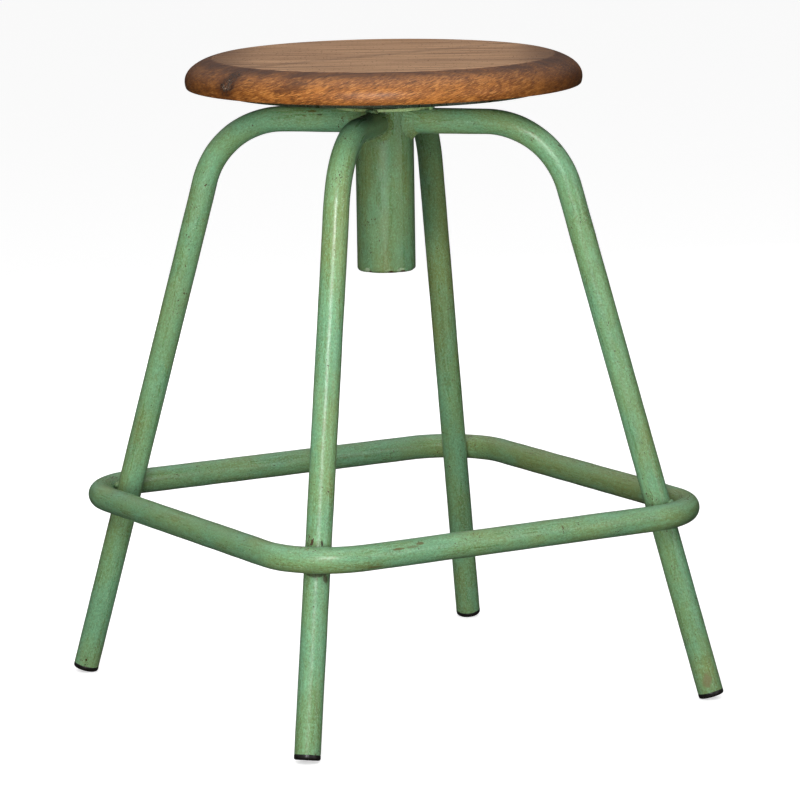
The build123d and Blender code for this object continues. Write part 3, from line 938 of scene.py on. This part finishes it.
def bead(name, path, radius, out, angle, seed):
    """A rippled weld bead on the leg at an angle, each wave a drop of metal that overlaps the last.

    The path and its outward direction are given for a leg along +X.
    """
    path = [turned_point(p, angle) for p in path]
    out = turned_point(out, angle)
    vertices = []
    travelled = 0.0
    count = len(path)
    for i, point in enumerate(path):
        if i:
            travelled += (point - path[i - 1]).length
        along = (path[min(i + 1, count - 1)] - path[max(i - 1, 0)]).normalized()
        upward = (out - along * out.dot(along)).normalized()
        side = upward.cross(along)
        wave = (travelled / BEAD_RIPPLE + 0.3 * seed) % 1.0
        end_taper = min(1.0, 0.45 + 6.0 * min(i, count - 1 - i) / count)
        size = radius * (0.86 + 0.14 * math.sin(wave * math.pi)) * end_taper
        for j in range(BEAD_SIDES):
            turn = TAU * j / BEAD_SIDES
            away = side * math.cos(turn) + upward * math.sin(turn)
            lump = 1.0 + 0.22 * noise.noise((point + away * size) * 330 + Vector((seed, 0, 0)))
            vertices.append(point + away * size * lump)
    return finish_bead(name, vertices, count, seed)


def finish_bead(name, vertices, rows, seed):
    """A closed weld from its rings of vertices, with the attributes that the paint reads."""
    faces = grid_faces(rows, len(vertices) // rows, capped=True)
    obj = new_object(name, vertices, faces, sharp_angle=60)
    store(obj, "flow", [(v.co.z, v.co.x, v.co.y + seed) for v in obj.data.vertices])
    # The same share of dirt and painted shade all over a weld
    store(obj, "grime_and_shade", [0.45] * len(obj.data.vertices))
    return obj


def hub_fillet(name, angle, seed):
    """A hollow, rippled weld that runs from the hub onto a leg, round its sides and underside."""
    steps = 150
    across = 12
    sunk = 1.0 * MM
    start, sweep = -221, 262
    vertices = []
    for i in range(steps + 1):
        turn = math.radians(start + sweep * i / steps)
        ripple = 0.5 + 0.5 * math.sin(i * TAU / 6.5 + 1.5 * noise.noise(Vector((i * 0.11, seed, 0))))
        lump = noise.noise(Vector((i * 0.09, seed * 3.1, 0)))
        reach = (5.6 + 0.7 * ripple + 1.6 * lump) * MM
        arm_reach = (6.2 + 0.8 * ripple - 1.8 * lump) * MM
        seam = on_hub(TUBE_R, turn)
        hub_toe = on_hub(TUBE_R + reach, turn)
        arm_toe = seam + Vector((arm_reach, 0, 0))
        bend = seam.lerp((hub_toe + arm_toe) / 2, 0.42 + 0.10 * ripple)
        for k in range(across):
            t = k / (across - 1)
            vertices.append(hub_toe * (1 - t) ** 2 + bend * 2 * t * (1 - t) + arm_toe * t * t)
        vertices.append(arm_toe - Vector((0, math.cos(turn), math.sin(turn))) * 0.6 * MM)
        vertices.append(on_hub(TUBE_R - 0.6 * MM, turn) - Vector((sunk, 0, 0)))
        vertices.append(hub_toe - Vector((sunk, 0, 0)))
    return finish_bead(name, [turned_point(p, angle) for p in vertices], steps + 1, seed)


def on_hub(radius, turn):
    """A point of the hub's surface, on a circle about the axis of a leg along +X."""
    y = radius * math.cos(turn)
    return Vector((math.sqrt(HUB_R ** 2 - y * y), y, ARM_Z + radius * math.sin(turn)))


def make_hub_beads():
    """The welds between the legs and the hub."""
    made = [hub_fillet(f"hub_bead_{i}", angle, i) for i, angle in enumerate(LEG_ANGLES.values())]
    finish_piece(join("hub_beads", made), *GREEN_FRAME, "hub_welds")


def across_leg(half_width):
    """Y of each point of a bead across a leg along +X."""
    return [-half_width + 2 * half_width * i / (BEAD_STEPS - 1) for i in range(BEAD_STEPS)]


def make_disc_beads():
    """Tacks at the disc's rim, across the top of each leg."""
    path = []
    for y in across_leg(6.0 * MM):
        drop = TUBE_R - math.sqrt(TUBE_R ** 2 - y * y)
        x = math.sqrt(DISC_R ** 2 - y * y) + 0.6 * MM
        path.append(Vector((x, y, DISC_LOW.z + 0.5 * MM - 0.6 * drop)))
    made = []
    for i, angle in enumerate(LEG_ANGLES.values()):
        made.append(bead(f"disc_bead_{i}", path, 2.5 * MM, Vector((1, 0, 1)), angle, 10 + i))
    finish_piece(join("disc_beads", made), *GREEN_FRAME, "disc_welds")


def make_footrest_beads():
    """Beads above and below, where each leg touches the inside of a footrest corner."""
    contact = Vector((radius_of_leg_at(LOOP_Z) + TUBE_R / math.cos(LEG_TILT), 0, LOOP_Z))
    made = []
    for i, angle in enumerate(LEG_ANGLES.values()):
        for side in (-1, 1):
            path = []
            for y in across_leg(6.5 * MM):
                back = (y / TUBE_R) ** 2 * 1.6 * MM
                path.append(contact + UP_LEG * side * (5.2 * MM + 0.25 * abs(y)) + Vector((-back, y, 0)))
            name = f"footrest_bead_{i}_{side}"
            made.append(bead(name, path, 2.7 * MM, UP_LEG * side, angle, 20 + i + side))
    finish_piece(join("footrest_beads", made), *GREEN_FRAME, "footrest_welds")


def make_foot_caps():
    """Black caps with a rounded edge, a shallow dished face and a moulding rim against the tube."""
    across = Vector((math.cos(LEG_TILT), 0, math.sin(LEG_TILT)))
    stand = axes_matrix(across, UP_LEG.cross(across), UP_LEG, leg_end())
    low = -CAP_FLANGE
    profile = profile_from(0.0, low, [(0, 0.9), (4, 0.8), (7.2, 0.35), (8.4, 0.06)])
    for i in range(9):
        angle = TAU / 4 * i / 8
        radius = TUBE_R - CAP_ROUND + CAP_ROUND * math.sin(angle)
        profile.append((radius, low + CAP_ROUND * (1 - math.cos(angle))))
    profile += profile_from(TUBE_R, 0.0, [(0, -0.9), (-0.15, -0.35), (-0.5, -0.05)])
    profile += profile_from(0.0, 0.0, [(10.7, 0), (10.2, 0.3), (10.2, 17), (9.6, 18), (0, 18)])
    for name, angle in LEG_ANGLES.items():
        place = Matrix.Rotation(math.radians(angle), 4, "Z") @ stand
        cap = turned_solid(f"foot_cap_{name}_moulding", profile, around=72, place=place)
        finish_piece(cap, "frame", "black_plastic", PLASTIC, f"foot_cap_{name}")


def seat_profile():
    """(radius, height) of the seat, from the middle of the underside round to the middle of the top."""
    low = SEAT_LOW.z
    high = SEAT_HIGH.z
    side = profile_from(SEAT_R, low, [
        (-2.2, 0), (-1.3, 0.4), (-0.75, 1.6), (-0.3, 3.6), (0, 6.4), (-0.5, 10.4), (-2.4, 14.6),
        (-5.6, 18.4), (-10.4, 22.0), (-16.4, 25.1), (-22.6, 27.35),
    ])
    side.append((CREASE_R + 0.6 * MM, high - 0.17 * MM))
    underside = [(r * MM, low) for r in (0, 15, 40, 70, 100, 130, 155, 170, 182)]
    top = [(CREASE_R - 0.2 * MM, high)]
    top += [(r * MM, high) for r in (160, 150, 138, 124, 108, 90, 70, 50, 30, 12, 0)]
    return underside + smooth_profile(side) + top


def make_seat():
    """The wooden seat, with a hand-sanded unevenness and a hollow at its knot."""
    seat = turned_solid("seat_wood_top", seat_profile(), around=360)
    knot = VIEW_RIGHT * KNOT[0] - VIEW_FRONT * KNOT[1] + Vector((0, 0, KNOT[2]))
    for vertex in seat.data.vertices:
        out = Vector((vertex.co.x, vertex.co.y, 0))
        on_side = min(1.0, 2.0 * near(out.length, SEAT_R, 27 * MM))
        uneven = abs(noise.noise(vertex.co * 14)) * 0.8 * MM
        uneven += abs(noise.noise(vertex.co * 60)) * 0.12 * MM
        if out.length > 1 * MM and vertex.co.z > SEAT_LOW.z + 0.2 * MM:
            vertex.co -= out.normalized() * uneven * on_side
        hollow = near((vertex.co - knot).length, 0.0, 6 * MM)
        if hollow:
            vertex.co -= out.normalized() * hollow * 0.9 * MM
    finish_piece(seat, "seat", "seat_wood", WOOD, "seat_top")


def make_seat_plate():
    """The disc under the wood, with its rim rolled down."""
    roll = 1.5 * MM
    low = PLATE_LOW.z
    high = PLATE_HIGH.z
    inner = PLATE_R - PLATE_THICK
    under = high - PLATE_THICK
    profile = [(COLLAR_BORE_R, high), (60 * MM, high), (110 * MM, high)]
    for i in range(7):
        angle = TAU / 4 * i / 6
        profile.append((PLATE_R - roll * (1 - math.sin(angle)), high - roll * (1 - math.cos(angle))))
    profile += profile_from(PLATE_R, low, [(0, 0.6), (-0.5, 0)])
    profile += profile_from(inner, low, [(0.5, 0), (0, 0.5)])
    profile += profile_from(inner, under, [(0, -1.2), (-1.2, 0)])
    profile += [(110 * MM, under), (60 * MM, under), (COLLAR_BORE_R, under)]
    plate = turned_solid("seat_plate_pressing", profile[::-1], around=192, closed_profile=True)
    # Dirt and painted shade, strongest at the middle of the underside
    grime_and_shade_on(plate, [(Vector((0, 0, low)), 0.06)])
    finish_piece(plate, "seat", "dark_paint", DARK_GREEN_PAINTED_SHADE, "seat_plate")


def make_spindle():
    """The lift screw: a square thread, 6 mm to the turn, cut inside the CAD cylinder."""
    pitch = 6.0 * MM
    depth = 2.4 * MM
    half_groove = 0.22
    flank = 0.06
    outer = SPINDLE_R - 0.1 * MM
    core = 8 * MM
    around = 72
    per_turn = 24
    low = SPINDLE_LOW.z + 8.2 * MM
    high = SPINDLE_HIGH.z
    rows = round((high - low) / pitch * per_turn)
    vertices = []
    for i in range(rows + 1):
        z = low + (high - low) * i / rows
        for j in range(around):
            angle = TAU * j / around
            turn = (z / pitch - j / around) % 1.0
            wall = min(max((abs(turn - 0.5) - half_groove) / flank, 0.0), 1.0)
            radius = outer - depth * (1 - wall)
            plain = max(near(z, high, 10 * MM), near(z, low, 3 * MM) * 0.3)
            radius += (outer - radius) * min(1.0, plain * 3)
            vertices.append(Vector((radius * math.cos(angle), radius * math.sin(angle), z)))
    faces = grid_faces(rows + 1, around)
    faces.append(tuple(rows * around + j for j in range(around)))
    base = len(vertices)
    vertices += circle(core, low, around) + circle(core, SPINDLE_LOW.z, around)
    for j in range(around):
        k = (j + 1) % around
        faces.append((base + j, base + k, k, j))
        faces.append((base + around + j, base + around + k, base + k, base + j))
    faces.append(tuple(base + around + j for j in range(around))[::-1])
    screw = new_object("spindle_thread", vertices, faces, sharp_angle=40)
    finish_piece(screw, "seat", "spindle_steel", SPINDLE_STEEL, "spindle")


def make_collar():
    """The collar between the screw and the plate, with its weld to the plate."""
    low = COLLAR_LOW.z
    high = COLLAR_HIGH.z
    outer = COLLAR_HIGH.x
    profile = [(COLLAR_BORE_R, low)]
    profile += profile_from(outer, low, [(-1.5, 0), (-0.5, 0.5), (0, 1.5)])
    profile += [(outer, high - 2.5 * MM), (outer, high), (COLLAR_BORE_R, high)]
    collar = turned_solid("spindle_collar_turned", profile, closed_profile=True)
    # Dirt and painted shade at the collar's foot
    grime_and_shade_on(collar, [(Vector((0, 0, low)), 0.03)])
    finish_piece(collar, "seat", "dark_paint", DARK_GREEN_PAINTED_SHADE, "spindle_collar")


def make_seat_screws():
    """Eight pan-head screws with a cross recess."""
    head_r = 5.0 * MM
    circle_r = 128 * MM
    count = 8
    head = 2.6 * MM
    profile = [(0.0, -head), (1.0 * MM, -head), (2.2 * MM, -0.98 * head)]
    crown = [(3.2 * MM, -0.9 * head), (4.3 * MM, -0.66 * head), (head_r, -0.25 * head)]
    profile += smooth_profile(crown, steps=4)
    profile += [(head_r, 0.0), (2.5 * MM, 0.0), (2.5 * MM, 4 * MM), (0.0, 4 * MM)]
    made = []
    for i in range(count):
        angle = TAU * (i + 0.5) / count
        across = (circle_r * math.cos(angle), circle_r * math.sin(angle), PLATE_HIGH.z - PLATE_THICK)
        place = Matrix.Translation(across) @ Matrix.Rotation(i * 1.3, 4, "Z")
        screw = turned_solid(f"seat_screw_{i}", profile, around=40, place=place)
        cut_recess(screw, place, head)
        made.append(screw)
    screws = join("seat_pan_screws", made)
    finish_piece(screws, "seat", "screw_steel", SCREW_STEEL, "seat_screws")


def cut_recess(screw, place, head):
    """A cross recess in a screw's head."""
    cutters = []
    for long, wide in ((2.3 * MM, 0.45 * MM), (0.45 * MM, 2.3 * MM)):
        corners = [(-long, -wide), (long, -wide), (long, wide), (-long, wide)]
        vertices = [place @ Vector((x, y, -head - 1 * MM)) for x, y in corners]
        vertices += [place @ Vector((0.4 * x, 0.4 * y, -head + 1.7 * MM)) for x, y in corners]
        faces = [(3, 2, 1, 0), (4, 5, 6, 7), (0, 1, 5, 4), (1, 2, 6, 5), (2, 3, 7, 6), (3, 0, 4, 7)]
        cutters.append(new_object("cutter", vertices, faces, smooth=False))
    cut_away(screw, *cutters)


def finish_hidden_nodes():
    """Materials for the CAD pieces that stay as they are, mostly inside the hub."""
    materials = {
        "lift_nut": SPINDLE_STEEL,
        "guide_bush": PLASTIC,
        "guide_washer": SCREW_STEEL,
        "guide_screw": SCREW_STEEL,
        "hub_plug": PLASTIC,
    }
    for node, material in materials.items():
        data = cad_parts[node].data
        data.materials.clear()
        data.materials.append(material)


# ---- studio

def make_camera():
    """The camera, looking a little down from 1.05 m."""
    data = bpy.data.cameras.new("camera")
    data.lens = CAMERA_LENS
    data.sensor_width = 36
    data.clip_end = 200
    camera = add_object("camera", data)
    back = VIEW_FRONT * math.cos(CAMERA_ELEVATION) + Vector((0, 0, math.sin(CAMERA_ELEVATION)))
    up = back.cross(VIEW_RIGHT)
    rolled_right = VIEW_RIGHT * math.cos(CAMERA_ROLL) + up * math.sin(CAMERA_ROLL)
    rolled_up = up * math.cos(CAMERA_ROLL) - VIEW_RIGHT * math.sin(CAMERA_ROLL)
    place = Vector((0, 0, AIM_HEIGHT)) + VIEW_RIGHT * AIM_RIGHT + back * CAMERA_DISTANCE
    camera.matrix_world = axes_matrix(rolled_right, rolled_up, back, place)
    bpy.context.scene.camera = camera


def area_light(name, place, aim_height, size, power, spread, glossy):
    """A soft rectangular light that looks at the stool's axis."""
    data = bpy.data.lights.new(name, "AREA")
    data.shape = "RECTANGLE"
    data.size, data.size_y = size
    data.energy = power
    data.spread = math.radians(spread)
    light = add_object(name, data)
    right, front, up = place
    location = VIEW_RIGHT * right + VIEW_FRONT * front + Vector((0, 0, up))
    light.location = location
    light.rotation_euler = (Vector((0, 0, aim_height)) - location).to_track_quat("-Z", "Y").to_euler()
    light.visible_glossy = glossy


def make_world():
    """Soft surroundings: dark up to a little above eye level, and brighter from there to overhead."""
    world = bpy.data.worlds.new("studio")
    world.use_nodes = True
    tree = world.node_tree
    background = tree.nodes["Background"]
    background.inputs["Color"].default_value = (1, 1, 1, 1)
    where = tree.nodes.new("ShaderNodeTexCoord")
    parts = tree.nodes.new("ShaderNodeSeparateXYZ")
    height = tree.nodes.new("ShaderNodeMapRange")
    limits = {"From Min": RISE_LOW, "From Max": RISE_HIGH, "To Min": WORLD_LOW, "To Max": WORLD_HIGH}
    for socket, value in limits.items():
        height.inputs[socket].default_value = value
    tree.links.new(where.outputs["Generated"], parts.inputs[0])
    tree.links.new(parts.outputs[2], height.inputs["Value"])
    tree.links.new(height.outputs[0], background.inputs["Strength"])
    bpy.context.scene.world = world


def make_studio():
    """Floor, surroundings and lights. The floor neither lights the object nor shows in it."""
    signs = [(-1, -1), (1, -1), (1, 1), (-1, 1)]
    corners = [(x * FLOOR_HALF, y * FLOOR_HALF, 0) for x, y in signs]
    floor = new_object("floor", corners, [(0, 1, 2, 3)], smooth=False)
    floor.data.materials.append(floor_material())
    floor.visible_diffuse = False
    floor.visible_glossy = False
    make_world()
    bpy.context.scene.view_settings.view_transform = "Standard"
    for name, light in LIGHTS.items():
        area_light(name, *light)


make_legs()
make_footrest()
make_hub()
make_hub_disc()
make_hub_beads()
make_disc_beads()
make_footrest_beads()
make_foot_caps()
make_seat()
make_seat_plate()
make_spindle()
make_collar()
make_seat_screws()
finish_hidden_nodes()
make_studio()
make_camera()
